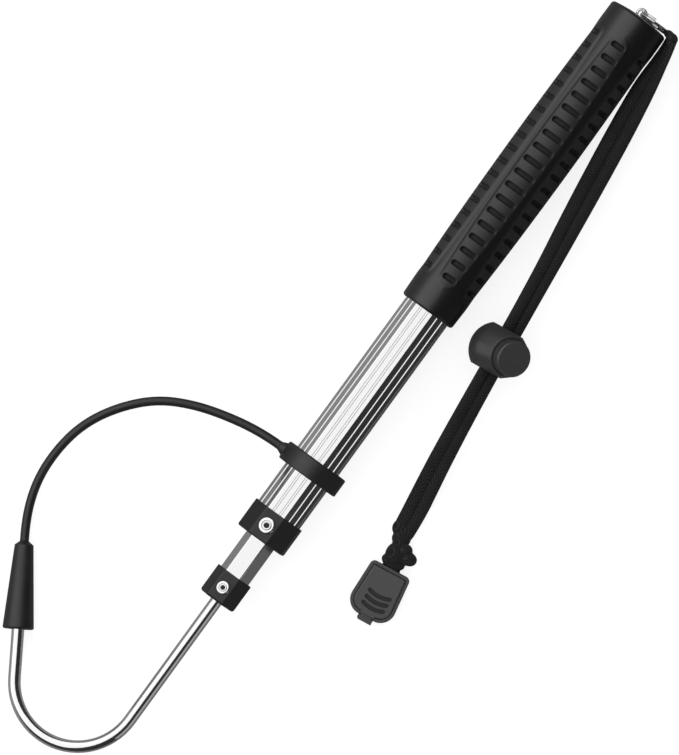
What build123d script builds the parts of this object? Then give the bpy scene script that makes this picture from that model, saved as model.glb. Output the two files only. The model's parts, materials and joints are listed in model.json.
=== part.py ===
"""Telescopic fishing gaff: padded octagonal handle, hexagonal middle section, round hook rod,
a rubber point protector on a moulded tether, and a wrist lanyard with a cord lock and an end clip.

Units are millimetres. The origin is the middle of the butt end, on the pole's axis.
+X runs from the butt to the hook, +Y is the lanyard's side, the hook opens towards -Y and +Z is up.
The gaff lies on a level surface, so the flat plane that holds the hook is rolled a little about X.
"""

from build123d import *
from math import acos, atan2, cos, pi, radians, sin, tan
import os

os.makedirs("parts", exist_ok=True)

# ---------------------------------------------------------------- driving dimensions
# Lie of the tool
tool_roll = 7.3  # degrees: the hook side sinks until the point's cover rests on the surface
rest_height = 16.2  # pole axis above the surface

# Grip sleeve
grip_length = 172.0
grip_butt_radius = 15.3
grip_belly_radius = 15.85
grip_belly_station = 82.0
grip_front_radius = 14.3
grip_butt_dome = 1.2
grip_butt_wall = 4.0
grip_corner = 1.6
panel_count = 6
flute_start = 14.0
flute_end = 160.0
flute_radius = 3.4
flute_depth = 1.2
grip_roll = 2.0  # degrees that the upper panel is turned from +Z towards -Y
dome_mid_share = 0.52  # point on the butt dome, as a share of its radius
dome_mid_rise = 0.27  # and of its rise

# Outer tube, an octagonal extrusion
outer_flats = 22.9
outer_sides = 8
outer_turn = 22.5  # degrees, so that a facet faces up in the hook's plane
outer_wall = 0.9
outer_corner = 1.0
outer_tube_front = 303.0

# Collar on the outer tube
outer_collar_rear = 290.6
outer_collar_wall = 1.35
outer_collar_nose = 2.7
outer_collar_edge = 1.0
outer_rivet_station = 298.0
outer_rivet_shank = 4.0
outer_rivet_head = 8.0

# Middle tube, a hexagonal extrusion
middle_flats = 14.0
middle_sides = 6
middle_wall = 0.8
middle_corner = 0.8
middle_tube_rear = 48.0
middle_tube_front = 338.4

# Collar on the middle tube
inner_collar_rear = 326.3
inner_collar_wall = 1.55
inner_collar_nose = 2.7
inner_collar_edge = 1.4
inner_rivet_station = 333.9
inner_rivet_shank = 3.2
inner_rivet_head = 6.6

# Hook rod
rod_diameter = 6.0
rod_rear = 72.0
hook_bend_start = 410.7
hook_bend_radius = 30.5
hook_return_angle = 32.2  # degrees between the return limb and the shank
hook_limb = 56.6
hook_point_length = 12.0
hook_point_tip_radius = 0.25

# Blind rivets
rivet_head_height = 1.1
rivet_mandrel_share = 0.55  # mandrel head's diameter as a share of the shank's
rivet_tail = 1.2
rivet_flat_share = 0.58  # flat top's diameter as a share of the head's
rivet_crown_share = 0.80  # where the domed edge is 0.8 of the head high
rivet_head_edge = 0.3
rivet_mouth_step = 0.25
rivet_mouth_drop = 0.15
rivet_mouth_depth = 0.5
rivet_tail_swell = 0.5
mandrel_tail = 0.6
mandrel_swell = 0.2
mandrel_top = 0.35  # above the facet, inside the head's mouth

# Glides at the sections' rear ends
glide_length = 16.0
glide_plug = 9.0
glide_ring_section = 1.8
rod_pin_diameter = 2.0
rod_pin_recess = 0.1
glide_bore_gap = 1.0  # radial, the rod passes freely through the rear glide

# Point protector: ring, tether and cover are one rubber moulding in use
ring_outer_radius = 16.2
ring_width = 9.4
ring_rear = 259.4
ring_neck = 2.9
ring_edge = 0.8
ring_neck_root = 2.0  # how far the neck starts inside the band
ring_neck_inset = 0.4
tether_diameter = 4.3
cover_mouth_radius = 7.5
cover_tip_radius = 4.5
cover_length = 41.8
cover_shoulder = 1.9
cover_mouth_edge = 0.9
cover_point_gap = 1.0  # beyond the point, along the limb
cover_bore_tip = 0.6
cover_grip_depth = 33.4  # how far the point goes into the cover

# Lanyard hardware
ring_wire = 1.2
ring_coil_radius = 7.1
eye_wire = 1.3
eye_hole_radius = 1.5
eye_recess = 2.2
ring_turns = 1.93
ring_coil_gap = 0.02
strand_diameter = 4.4

# Cord lock
lock_angle = 6.6  # degrees from +X to the strands where the lock sits
lock_lean = 30.0  # degrees that the button's axis leans from +Z towards +Y
lock_centre_x = 167.3
lock_centre_y = 37.6
lock_ball_radius = 13.5
lock_width = 21.8
lock_rim_radius = 10.15
lock_rim_height = 13.1
lock_button_radius = 8.85
lock_button_top = 18.3
lock_button_bottom = -4.3
lock_bore_floor = -8.0
lock_pocket_floor = -11.0
lock_slot_offset = 3.4
lock_slot_width = 12.4
lock_slot_height = 6.0
lock_press = 3.5
lock_belly_angle = -35  # degrees, a point on the ball below its middle
lock_rim_edge = 0.45
button_edge = 0.9
button_recess = 2.3
spring_wire = 0.8
spring_radius = 4.6
spring_pocket_radius = 5.6
spring_turns = 4.0

# End clip
clip_angle = 7.5
clip_mouth_x = 280.3
clip_mouth_y = 58.4
clip_length = 26.0
clip_mouth_half = 10.2
clip_end_half = 12.0
clip_mouth_corner = 2.4
clip_end_corner = 7.5
clip_rim = 1.6
clip_floor = 1.4
clip_base_height = 5.8
clip_lid_thickness = 2.2
clip_lid_rise = 0.7
clip_mouth_gap = 12.0
clip_tab_width = 7.6
clip_tab_reach = 2.4
clip_hinge_rise = 0.3  # hinge line above the rim
clip_groove_count = 3
clip_groove_pitch = 3.3
clip_groove_width = 2.1
clip_groove_depth = 1.0
clip_groove_line = ((13.3, 6.0), (14.4, 1.0), (13.5, -4.4))  # the groove nearest the mouth
clip_bottom_edge = 1.0
clip_rim_edge = 0.4
clip_lid_edge = 0.6
clip_tab_corner = 1.2
hinge_bead_radius = 0.28
hinge_bead_gap = 0.1
hinge_strip_low = 0.15  # the strip's underside above the rim
hinge_strip_high = 0.55  # and its top, which the open lid clears
clip_tongue_gap = 0.2  # each side

# Fits
slide_gap = 0.10  # between flats that slide on each other
bore_gap = 0.06  # radial, round rod in its collar
loose_gap = 0.3  # between bodies that only pass each other
seat_gap = 0.02  # radial, pressed together but not overlapping
button_gap = 0.25  # radial, button in its bore
slot_gap = 0.3  # button's slot over the strands
clip_lid_gap = 0.25  # lid inside its rim

# ---------------------------------------------------------------- derived values and planes
roll_sin = sin(radians(tool_roll))
roll_cos = cos(radians(tool_roll))
tool_plane = Plane(origin=(0, 0, 0), x_dir=(1, 0, 0), z_dir=(0, -roll_sin, roll_cos))
floor_z = -rest_height

outer_bore_flats = outer_flats - 2 * outer_wall
middle_bore_flats = middle_flats - 2 * middle_wall
outer_collar_flats = outer_flats + 2 * outer_collar_wall
inner_collar_flats = middle_flats + 2 * inner_collar_wall
outer_collar_front = outer_tube_front + outer_collar_nose
inner_collar_front = middle_tube_front + inner_collar_nose
rod_radius = rod_diameter / 2
ring_bore_radius = outer_flats / 2 / cos(radians(outer_turn)) + loose_gap


def across(station):
    """The plane across the pole at a distance from the butt, its y axis square to the hook's plane."""
    return Plane(origin=(station, 0, 0), x_dir=tool_plane.y_dir, z_dir=(1, 0, 0))


def in_tool(u, v):
    """A point of the hook's plane: u along the pole and v towards the lanyard side."""
    return tool_plane.from_local_coords(Vector(u, v, 0))


def route_radii(points, share=0.45):
    """One radius for each corner of a route: share of the shorter run over the tangent of half the turn."""
    radii = []
    for before, here, after in zip(points, points[1:], points[2:]):
        first = Vector(*here) - Vector(*before)
        second = Vector(*after) - Vector(*here)
        half_turn = radians(first.get_angle(second)) / 2
        radii.append(share * min(first.length, second.length) / tan(half_turn))
    return radii


def report_tube(name, part, wire, diameter, radii):
    """Prints a tube's arc radii and compares its volume with its section times its length."""
    expected = pi * diameter**2 / 4 * wire.length
    print(f"{name}: length {wire.length:.1f} mm, radii {[round(r) for r in radii]}")
    print(f"{name}: volume {part.volume:.1f} mm3, section times length {expected:.1f} mm3")


# ---------------------------------------------------------------- grip sleeve
with BuildPart() as grip_sleeve:
    with BuildSketch(Plane.XZ):
        with BuildLine():
            dome_edge = (grip_butt_dome, grip_butt_radius - grip_corner)
            corner_end = (grip_butt_dome + grip_corner, grip_butt_radius)
            front_corner = (grip_length, grip_front_radius - grip_corner)
            front_start = (grip_length - grip_corner, grip_front_radius)
            belly = (grip_belly_station, grip_belly_radius)
            dome_mid = (grip_butt_dome * dome_mid_rise, dome_edge[1] * dome_mid_share)
            ThreePointArc((0, 0), dome_mid, dome_edge)
            RadiusArc(dome_edge, corner_end, grip_corner)
            Spline(corner_end, belly, front_start, tangents=[(1, 0.02), (1, -0.04)])
            RadiusArc(front_start, front_corner, grip_corner)
            Polyline(front_corner, (grip_length, 0), (0, 0))
        make_face()
    revolve(axis=Axis.X)
    with BuildSketch(across(grip_butt_wall)):
        RegularPolygon(outer_flats / 2 + seat_gap, outer_sides, major_radius=False, rotation=outer_turn)
    extrude(amount=grip_length, mode=Mode.SUBTRACT)
    with BuildSketch(across(0)):
        Circle(eye_hole_radius + eye_wire + loose_gap)
    extrude(amount=eye_recess, mode=Mode.SUBTRACT)
    with BuildSketch(across(0)):
        Circle(eye_wire / 2 + seat_gap)
    extrude(amount=grip_butt_wall, mode=Mode.SUBTRACT)
    # the six flutes between the raised panels, as bars with round ends laid along the sleeve
    flute_centre = grip_belly_radius - flute_depth + flute_radius
    with BuildSketch(Plane.XZ) as flute_profile:
        with Locations(((flute_start + flute_end) / 2, flute_centre)):
            SlotOverall(flute_end - flute_start, 2 * flute_radius)
        with Locations(((flute_start + flute_end) / 2, flute_centre + flute_radius)):
            Rectangle(flute_end, 2 * flute_radius, mode=Mode.SUBTRACT)
    flute_bar = revolve(
        flute_profile.sketch,
        axis=Axis((0, 0, flute_centre), (1, 0, 0)),
        mode=Mode.PRIVATE,
    )
    for panel in range(panel_count):
        turn = grip_roll + 360 / panel_count * (panel + 0.5)
        add(flute_bar.rotate(Axis.X, turn), mode=Mode.SUBTRACT)
grip_sleeve.part.label = "grip_sleeve"

# ---------------------------------------------------------------- outer tube
with BuildPart() as outer_tube:
    with BuildSketch(across(grip_butt_wall)) as outer_section:
        RegularPolygon(outer_flats / 2, outer_sides, major_radius=False, rotation=outer_turn)
        fillet(outer_section.vertices(), outer_corner)
        RegularPolygon(
            outer_bore_flats / 2, outer_sides, major_radius=False, rotation=outer_turn, mode=Mode.SUBTRACT
        )
    extrude(amount=outer_tube_front - grip_butt_wall)
    with BuildSketch(tool_plane):
        with Locations((outer_rivet_station, 0)):
            Circle(outer_rivet_shank / 2 + seat_gap)
    extrude(amount=outer_flats, mode=Mode.SUBTRACT)
outer_tube.part.label = "outer_tube"

# ---------------------------------------------------------------- butt plug and lanyard eye
plug_length = 16.0
eye_shank = 14.0
eye_centre_x = -1.4
eye_centre_y = -0.5

with BuildPart() as butt_plug:
    with BuildSketch(across(grip_butt_wall)):
        RegularPolygon(
            outer_bore_flats / 2 - seat_gap, outer_sides, major_radius=False, rotation=outer_turn
        )
    extrude(amount=plug_length)
    chamfer(butt_plug.faces().sort_by(Axis.X)[-1].edges(), 1.0)
    with BuildSketch(across(grip_butt_wall)):
        Circle(eye_wire / 2 + seat_gap)
    extrude(amount=eye_shank, mode=Mode.SUBTRACT)
butt_plug.part.label = "butt_plug"

with BuildPart() as lanyard_eye:
    eye_ring_radius = eye_hole_radius + eye_wire / 2
    eye_section = Plane((eye_centre_x, eye_centre_y, 0), x_dir=(1, 0, 0), z_dir=(0, -1, 0))
    with BuildSketch(eye_section):
        with Locations((eye_ring_radius, 0)):
            Circle(eye_wire / 2)
    revolve(axis=Axis((eye_centre_x, eye_centre_y, 0), (0, 0, 1)))
    with BuildSketch(Plane.YZ.offset(eye_centre_x + eye_hole_radius + eye_wire / 4)):
        Circle(eye_wire / 2)
    extrude(amount=grip_butt_wall + eye_shank - eye_centre_x - eye_hole_radius - eye_wire)
lanyard_eye.part.label = "lanyard_eye"

# ---------------------------------------------------------------- split ring, two touching coils
ring_centre_y = eye_centre_y + ring_coil_radius
with BuildPart() as split_ring:
    coil_pitch = ring_wire + ring_coil_gap
    with BuildLine():
        coil = Helix(
            pitch=coil_pitch,
            height=coil_pitch * ring_turns,
            radius=ring_coil_radius,
            center=(eye_centre_x - coil_pitch * ring_turns / 2, ring_centre_y, 0),
            direction=(1, 0, 0),
        )
    with BuildSketch(Plane(origin=coil @ 0, z_dir=coil % 0)):
        Circle(ring_wire / 2)
    sweep()
split_ring.part.label = "split_ring"

# ---------------------------------------------------------------- collar on the outer tube
with BuildPart() as outer_collar:
    with BuildSketch(across(outer_collar_rear)) as collar_section:
        RegularPolygon(outer_collar_flats / 2, outer_sides, major_radius=False, rotation=outer_turn)
        fillet(collar_section.vertices(), outer_corner + outer_collar_wall)
    extrude(amount=outer_collar_front - outer_collar_rear)
    fillet(outer_collar.faces().sort_by(Axis.X)[-1].edges(), outer_collar_edge)
    with BuildSketch(across(outer_collar_rear)) as collar_socket:
        RegularPolygon(
            outer_flats / 2 + seat_gap, outer_sides, major_radius=False, rotation=outer_turn
        )
        fillet(collar_socket.vertices(), outer_corner)
    extrude(amount=outer_tube_front - outer_collar_rear, mode=Mode.SUBTRACT)
    with BuildSketch(across(outer_tube_front)):
        RegularPolygon(middle_flats / 2 + slide_gap, middle_sides, major_radius=False)
    extrude(amount=outer_collar_nose, mode=Mode.SUBTRACT)
    with BuildSketch(tool_plane):
        with Locations((outer_rivet_station, 0)):
            Circle(outer_rivet_shank / 2 + seat_gap)
    extrude(amount=outer_collar_flats, mode=Mode.SUBTRACT)
outer_collar.part.label = "outer_collar"


# ---------------------------------------------------------------- blind rivets
def rivet_parts(station, facet_height, wall, shank, head):
    """The sleeve and the mandrel of a blind rivet that is set square into a facet."""
    mandrel = shank * rivet_mandrel_share
    bore = mandrel / 2 + seat_gap
    tail = shank / 2 + rivet_tail_swell
    inside = facet_height - wall - rivet_tail
    seat = facet_height + seat_gap
    top = facet_height + rivet_head_height
    axis_up = Axis(tool_plane.from_local_coords(Vector(station, 0, 0)), tool_plane.z_dir)
    side = Plane(origin=(station, 0, 0), x_dir=(1, 0, 0), z_dir=-tool_plane.y_dir)
    with BuildPart() as sleeve:
        with BuildSketch(side):
            with BuildLine():
                Polyline(
                    (bore, inside),
                    (tail, inside),
                    (tail, inside + rivet_tail - seat_gap),
                    (shank / 2, inside + rivet_tail - seat_gap),
                    (shank / 2, seat),
                    (head / 2, seat),
                    (head / 2, seat + rivet_head_edge),
                )
                ThreePointArc(
                    (head / 2, seat + rivet_head_edge),
                    (head / 2 * rivet_crown_share, facet_height + rivet_head_height * 0.8),
                    (head / 2 * rivet_flat_share, top),
                )
                Polyline(
                    (head / 2 * rivet_flat_share, top),
                    (bore + rivet_mouth_step, top - rivet_mouth_drop),
                    (bore, top - rivet_mouth_depth),
                    (bore, inside),
                )
            make_face()
        revolve(axis=axis_up)
    with BuildPart() as stem:
        with BuildSketch(side):
            with BuildLine():
                Polyline(
                    (0, inside - mandrel_tail),
                    (shank / 2, inside - mandrel_tail),
                    (shank / 2 + mandrel_swell, inside - seat_gap),
                    (mandrel / 2, inside - seat_gap),
                    (mandrel / 2, facet_height + mandrel_top),
                    (0, facet_height + mandrel_top),
                    close=True,
                )
            make_face()
        revolve(axis=axis_up)
    return sleeve, stem


outer_rivet, outer_rivet_mandrel = rivet_parts(
    outer_rivet_station,
    outer_collar_flats / 2,
    outer_collar_wall + outer_wall,
    outer_rivet_shank,
    outer_rivet_head,
)
outer_rivet.part.label = "outer_rivet"
outer_rivet_mandrel.part.label = "outer_rivet_mandrel"

inner_rivet, inner_rivet_mandrel = rivet_parts(
    inner_rivet_station,
    inner_collar_flats / 2,
    inner_collar_wall + middle_wall,
    inner_rivet_shank,
    inner_rivet_head,
)
inner_rivet.part.label = "inner_rivet"
inner_rivet_mandrel.part.label = "inner_rivet_mandrel"

# ---------------------------------------------------------------- middle tube
with BuildPart() as middle_tube:
    with BuildSketch(across(middle_tube_rear)) as middle_section:
        RegularPolygon(middle_flats / 2, middle_sides, major_radius=False)
        fillet(middle_section.vertices(), middle_corner)
        RegularPolygon(middle_bore_flats / 2, middle_sides, major_radius=False, mode=Mode.SUBTRACT)
    extrude(amount=middle_tube_front - middle_tube_rear)
    with BuildSketch(tool_plane):
        with Locations((inner_rivet_station, 0)):
            Circle(inner_rivet_shank / 2 + seat_gap)
    extrude(amount=middle_flats, mode=Mode.SUBTRACT)
middle_tube.part.label = "middle_tube"

# ---------------------------------------------------------------- glide on the middle tube
glide_front = middle_tube_rear
glide_groove_radius = outer_bore_flats / 2 - slide_gap - glide_ring_section
with BuildPart() as middle_glide:
    with BuildSketch(across(glide_front - glide_length)):
        RegularPolygon(
            outer_bore_flats / 2 - slide_gap, outer_sides, major_radius=False, rotation=outer_turn
        )
    extrude(amount=glide_length)
    with BuildSketch(across(glide_front)):
        RegularPolygon(middle_bore_flats / 2 - seat_gap, middle_sides, major_radius=False)
    extrude(amount=glide_plug)
    with BuildSketch(across(glide_front - glide_length)):
        Circle(rod_radius + glide_bore_gap)
    extrude(amount=glide_length + glide_plug, mode=Mode.SUBTRACT)
    with BuildSketch(Plane.XZ):
        with Locations((glide_front - glide_length / 2, glide_groove_radius)):
            Rectangle(
                glide_ring_section, 2 * glide_ring_section, align=(Align.CENTER, Align.MIN)
            )
    revolve(axis=Axis.X, mode=Mode.SUBTRACT)
middle_glide.part.label = "middle_glide"

with BuildPart() as middle_glide_ring:
    with BuildSketch(Plane.XZ):
        with Locations((glide_front - glide_length / 2, glide_groove_radius)):
            Circle(
                glide_ring_section / 2 - seat_gap, align=(Align.CENTER, Align.MIN)
            )
    revolve(axis=Axis.X)
middle_glide_ring.part.label = "middle_glide_ring"

# ---------------------------------------------------------------- collar on the middle tube
with BuildPart() as inner_collar:
    with BuildSketch(across(inner_collar_rear)) as inner_collar_section:
        RegularPolygon(inner_collar_flats / 2, middle_sides, major_radius=False)
        fillet(inner_collar_section.vertices(), middle_corner + inner_collar_wall)
    extrude(amount=inner_collar_front - inner_collar_rear)
    fillet(inner_collar.faces().sort_by(Axis.X)[-1].edges(), inner_collar_edge)
    with BuildSketch(across(inner_collar_rear)) as inner_collar_socket:
        RegularPolygon(middle_flats / 2 + seat_gap, middle_sides, major_radius=False)
        fillet(inner_collar_socket.vertices(), middle_corner)
    extrude(amount=middle_tube_front - inner_collar_rear, mode=Mode.SUBTRACT)
    with BuildSketch(across(middle_tube_front)):
        Circle(rod_radius + bore_gap)
    extrude(amount=inner_collar_nose, mode=Mode.SUBTRACT)
    with BuildSketch(tool_plane):
        with Locations((inner_rivet_station, 0)):
            Circle(inner_rivet_shank / 2 + seat_gap)
    extrude(amount=inner_collar_flats, mode=Mode.SUBTRACT)
inner_collar.part.label = "inner_collar"

# ---------------------------------------------------------------- hook rod
limb_along = cos(radians(hook_return_angle))
limb_across = sin(radians(hook_return_angle))
limb_direction = in_tool(-limb_along, -limb_across)
bend_outer_u = hook_bend_start + hook_bend_radius
bend_end_u = hook_bend_start + hook_bend_radius * limb_across
bend_end_v = -hook_bend_radius * (1 + limb_along)


def along_limb(distance):
    """The plane across the return limb at a distance from the bend's end, facing the point."""
    centre = in_tool(bend_end_u - distance * limb_along, bend_end_v - distance * limb_across)
    return Plane(origin=centre, x_dir=tool_plane.z_dir, z_dir=limb_direction)


with BuildPart() as hook_rod:
    with BuildLine(tool_plane):
        Line((rod_rear, 0), (hook_bend_start, 0))
        ThreePointArc(
            (hook_bend_start, 0), (bend_outer_u, -hook_bend_radius), (bend_end_u, bend_end_v)
        )
    with BuildSketch(across(rod_rear)):
        Circle(rod_radius)
    sweep()
    with BuildSketch(along_limb(0)):
        Circle(rod_radius)
    extrude(amount=hook_limb - hook_point_length)
    with BuildSketch(along_limb(hook_limb - hook_point_length)):
        Circle(rod_radius)
    with BuildSketch(along_limb(hook_limb)):
        Circle(hook_point_tip_radius)
    loft()
    pin_station = rod_rear + glide_length / 2
    with BuildSketch(tool_plane.offset(-rod_diameter)):
        with Locations((pin_station, 0)):
            Circle(rod_pin_diameter / 2 + seat_gap)
    extrude(amount=2 * rod_diameter, mode=Mode.SUBTRACT)
hook_rod.part.label = "hook_rod"

# ---------------------------------------------------------------- glide on the hook rod
with BuildPart() as rod_glide:
    with BuildSketch(across(rod_rear)):
        RegularPolygon(middle_bore_flats / 2 - slide_gap, middle_sides, major_radius=False)
    extrude(amount=glide_length)
    with BuildSketch(across(rod_rear)):
        Circle(rod_radius + seat_gap)
    extrude(amount=glide_length, mode=Mode.SUBTRACT)
    with BuildSketch(tool_plane.offset(-middle_flats)):
        with Locations((pin_station, 0)):
            Circle(rod_pin_diameter / 2 + seat_gap)
    extrude(amount=2 * middle_flats, mode=Mode.SUBTRACT)
rod_glide.part.label = "rod_glide"

with BuildPart() as rod_pin:
    pin_half = middle_bore_flats / 2 - slide_gap - rod_pin_recess
    with BuildSketch(tool_plane.offset(-pin_half)):
        with Locations((pin_station, 0)):
            Circle(rod_pin_diameter / 2)
    extrude(amount=2 * pin_half)
rod_pin.part.label = "rod_pin"

# ---------------------------------------------------------------- point protector
ring_middle = ring_rear + ring_width / 2
ring_neck_reach = ring_outer_radius + ring_neck
with BuildPart() as protector_ring:
    with BuildSketch(across(ring_rear)):
        Circle(ring_outer_radius)
    extrude(amount=ring_width)
    fillet(protector_ring.edges().filter_by(GeomType.CIRCLE), ring_edge)
    # the neck tapers from the band to the tether
    neck_root_v = ring_neck_root - ring_outer_radius
    neck_base = Plane(origin=in_tool(ring_middle, neck_root_v), z_dir=-tool_plane.y_dir)
    neck_end = Plane(origin=in_tool(ring_middle, -ring_neck_reach), z_dir=-tool_plane.y_dir)
    with BuildSketch(neck_base):
        Circle(ring_width / 2 - ring_neck_inset)
    with BuildSketch(neck_end):
        Circle(tether_diameter / 2)
    loft()
    with BuildSketch(across(ring_rear)):
        Circle(ring_bore_radius)
    extrude(amount=ring_width, mode=Mode.SUBTRACT)
protector_ring.part.label = "protector_ring"

cover_mouth = hook_limb - cover_grip_depth
cone_start = hook_limb - hook_point_length + cover_point_gap
with BuildPart() as tip_cover:
    with BuildSketch(along_limb(cover_mouth)):
        Circle(cover_mouth_radius)
    with BuildSketch(along_limb(cover_mouth + cover_length - cover_shoulder)):
        Circle(cover_tip_radius)
    loft()
    with BuildSketch(along_limb(cover_mouth + cover_length - cover_shoulder)):
        Circle(cover_tip_radius)
    with BuildSketch(along_limb(cover_mouth + cover_length)):
        Circle(tether_diameter / 2)
    loft()
    fillet(
        tip_cover.edges().filter_by(GeomType.CIRCLE).sort_by(SortBy.RADIUS)[-1],
        cover_mouth_edge,
    )
    with BuildSketch(along_limb(cover_mouth)):
        Circle(rod_radius + loose_gap)
    extrude(amount=cone_start - cover_mouth, mode=Mode.SUBTRACT)
    with BuildSketch(along_limb(cone_start)):
        Circle(rod_radius + loose_gap)
    with BuildSketch(along_limb(hook_limb + cover_point_gap)):
        Circle(cover_bore_tip)
    loft(mode=Mode.SUBTRACT)
tip_cover.part.label = "tip_cover"

# The tether's route in the hook's plane: u along the pole, v towards the lanyard side
tether_exit = (ring_middle, -ring_neck_reach)
tether_end_u = bend_end_u - (cover_mouth + cover_length) * limb_along
tether_end_v = bend_end_v - (cover_mouth + cover_length) * limb_across
tether_route = [
    tether_exit,
    (ring_middle, -27.0),
    (266.4, -43.0),
    (271.9, -62.5),
    (280.8, -79.3),
    (295.2, -92.3),
    (311.0, -100.6),
    (327.5, -103.6),
    (344.5, -103.0),
    (361.7, -97.4),
    (tether_end_u, tether_end_v),
]
tether_points = [in_tool(u, v) for u, v in tether_route]
tether_radii = route_radii(tether_points)
with BuildPart() as protector_tether:
    with BuildLine() as tether_wire:
        FilletPolyline(*tether_points, radius=tether_radii)
    tether_line = tether_wire.wire()
    with BuildSketch(Plane(origin=tether_line @ 0, z_dir=tether_line % 0)):
        Circle(tether_diameter / 2)
    sweep(path=tether_line)
protector_tether.part.label = "protector_tether"
report_tube(
    "protector_tether",
    protector_tether.part,
    tether_line,
    tether_diameter,
    tether_radii,
)

# ---------------------------------------------------------------- lanyard
# The bight is the fold of the doubled cord, wrapped round the far side of the split ring.
bight_x = -1.7
bight_inner_y = 12.4
bight_outer_y = 19.6
bight_thickness = 4.6
bight_height = 10.4
bight_corner = 1.9
bight_edge = 1.2
with BuildPart() as lanyard_bight:
    bight_middle_y = (bight_inner_y + bight_outer_y) / 2
    with Locations((bight_x, bight_middle_y, 0)):
        Box(bight_thickness, bight_outer_y - bight_inner_y, bight_height)
    fillet(lanyard_bight.edges().filter_by(Axis.Z), bight_corner)
    fillet(lanyard_bight.faces().filter_by(Axis.Z).edges(), bight_edge)
lanyard_bight.part.label = "lanyard_bight"

# Both strands run from the bight through the cord lock and down to the knot on the surface.
# They are straight where the lock slides on them.
strand_starts_x = bight_x + bight_thickness / 2
outer_route = [
    (strand_starts_x, 17.4, 2.7),
    (5.0, 18.9, 2.4),
    (14.0, 21.0, 1.2),
    (26.0, 23.5, -0.8),
    (43.0, 25.7, -2.1),
    (66.0, 28.6, -2.6),
    (96.0, 32.7, -1.8),
    (127.5, 37.21, -1.2),
    (191.5, 44.62, -1.2),
    (222.0, 48.7, -4.6),
    (240.0, 51.8, -10.8),
    (251.5, 53.6, -13.7),
    (262.5, 54.9, -14.0),
]
inner_route = [
    (strand_starts_x, 17.4, -2.7),
    (5.0, 17.9, -2.8),
    (14.5, 18.4, -2.4),
    (26.5, 18.6, -2.6),
    (43.0, 20.3, -2.6),
    (66.0, 23.2, -1.8),
    (96.5, 27.4, 0.2),
    (128.0, 32.24, 1.6),
    (192.0, 39.64, 1.6),
    (222.5, 43.6, -2.8),
    (240.5, 46.5, -10.3),
    (252.0, 48.5, -13.5),
    (262.5, 50.3, -14.0),
]


def strand(name, route):
    """A round tube along a route, and its line."""
    radii = route_radii(route)
    with BuildPart() as tube:
        with BuildLine() as route_line:
            FilletPolyline(*route, radius=radii)
        wire = route_line.wire()
        with BuildSketch(Plane(origin=wire @ 0, z_dir=wire % 0)):
            Circle(strand_diameter / 2)
        sweep(path=wire)
    tube.part.label = name
    report_tube(name, tube.part, wire, strand_diameter, radii)
    return tube


lanyard_strand_outer = strand("lanyard_strand_outer", outer_route)
lanyard_strand_inner = strand("lanyard_strand_inner", inner_route)

# ---------------------------------------------------------------- end clip planes and knot
clip_plane = Plane(
    origin=(clip_mouth_x, clip_mouth_y, floor_z),
    x_dir=(cos(radians(clip_angle)), sin(radians(clip_angle)), 0),
    z_dir=(0, 0, 1),
)
neck_height = 2.4
neck_width = clip_mouth_gap - 2 * loose_gap
knot_height = 9.6
knot_lift = 0.1  # above the surface
neck_inside = 7.5  # how far the cord reaches into the clip
neck_outside = 8.5
neck_corner = 2.0
knot_lobes = ((264.6, 53.0, 4.3), (270.8, 56.2, 5.3), (271.8, 61.6, 4.0))

with BuildPart() as lanyard_knot:
    with BuildSketch(Plane.XY.offset(floor_z + knot_lift)):
        for knot_x, knot_y, knot_radius in knot_lobes:
            with Locations((knot_x, knot_y)):
                Circle(knot_radius)
    extrude(amount=knot_height)
    with BuildSketch(clip_plane.offset(clip_floor + loose_gap)):
        with Locations(((neck_inside - neck_outside) / 2, 0)):
            RectangleRounded(neck_inside + neck_outside, neck_width, neck_corner)
    extrude(amount=neck_height)
lanyard_knot.part.label = "lanyard_knot"


# ---------------------------------------------------------------- end clip
def clip_shape(inset):
    """The clip's rounded trapezoid in its own plane, drawn smaller by an inset."""
    with BuildSketch(Plane.XY) as shape:
        with BuildLine():
            Polyline(
                (0, -clip_mouth_half),
                (clip_length, -clip_end_half),
                (clip_length, clip_end_half),
                (0, clip_mouth_half),
                close=True,
            )
        make_face()
        fillet(shape.vertices().group_by(Axis.X)[0], clip_mouth_corner)
        fillet(shape.vertices().group_by(Axis.X)[-1], clip_end_corner)
        if inset:
            offset(amount=-inset)
    return shape.sketch


clip_outer_shape = clip_shape(0)
clip_pocket_shape = clip_shape(clip_rim)
clip_lid_shape = clip_shape(clip_rim + clip_lid_gap)
with BuildLine() as groove_line:
    ThreePointArc(*clip_groove_line)
clip_lid_top = clip_base_height + clip_lid_rise
clip_lid_bottom = clip_lid_top - clip_lid_thickness
hinge_u = clip_length - clip_rim / 2
hinge_height = clip_base_height + clip_hinge_rise
tongue_bottom = clip_base_height + hinge_strip_low
tongue_end = hinge_u - hinge_bead_radius - hinge_bead_gap

with BuildPart() as clip_base:
    with BuildSketch(clip_plane):
        add(clip_outer_shape)
    extrude(amount=clip_base_height)
    fillet(clip_base.faces().sort_by(Axis.Z)[0].edges(), clip_bottom_edge)
    fillet(clip_base.faces().sort_by(Axis.Z)[-1].edges(), clip_rim_edge)
    with BuildSketch(clip_plane.offset(clip_floor)):
        add(clip_pocket_shape)
    extrude(amount=clip_base_height, mode=Mode.SUBTRACT)
    with BuildSketch(clip_plane.offset(clip_floor)):
        Rectangle(4 * clip_rim, clip_mouth_gap)
    extrude(amount=neck_height + 2 * loose_gap, mode=Mode.SUBTRACT)
clip_base.part.label = "clip_base"

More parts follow.
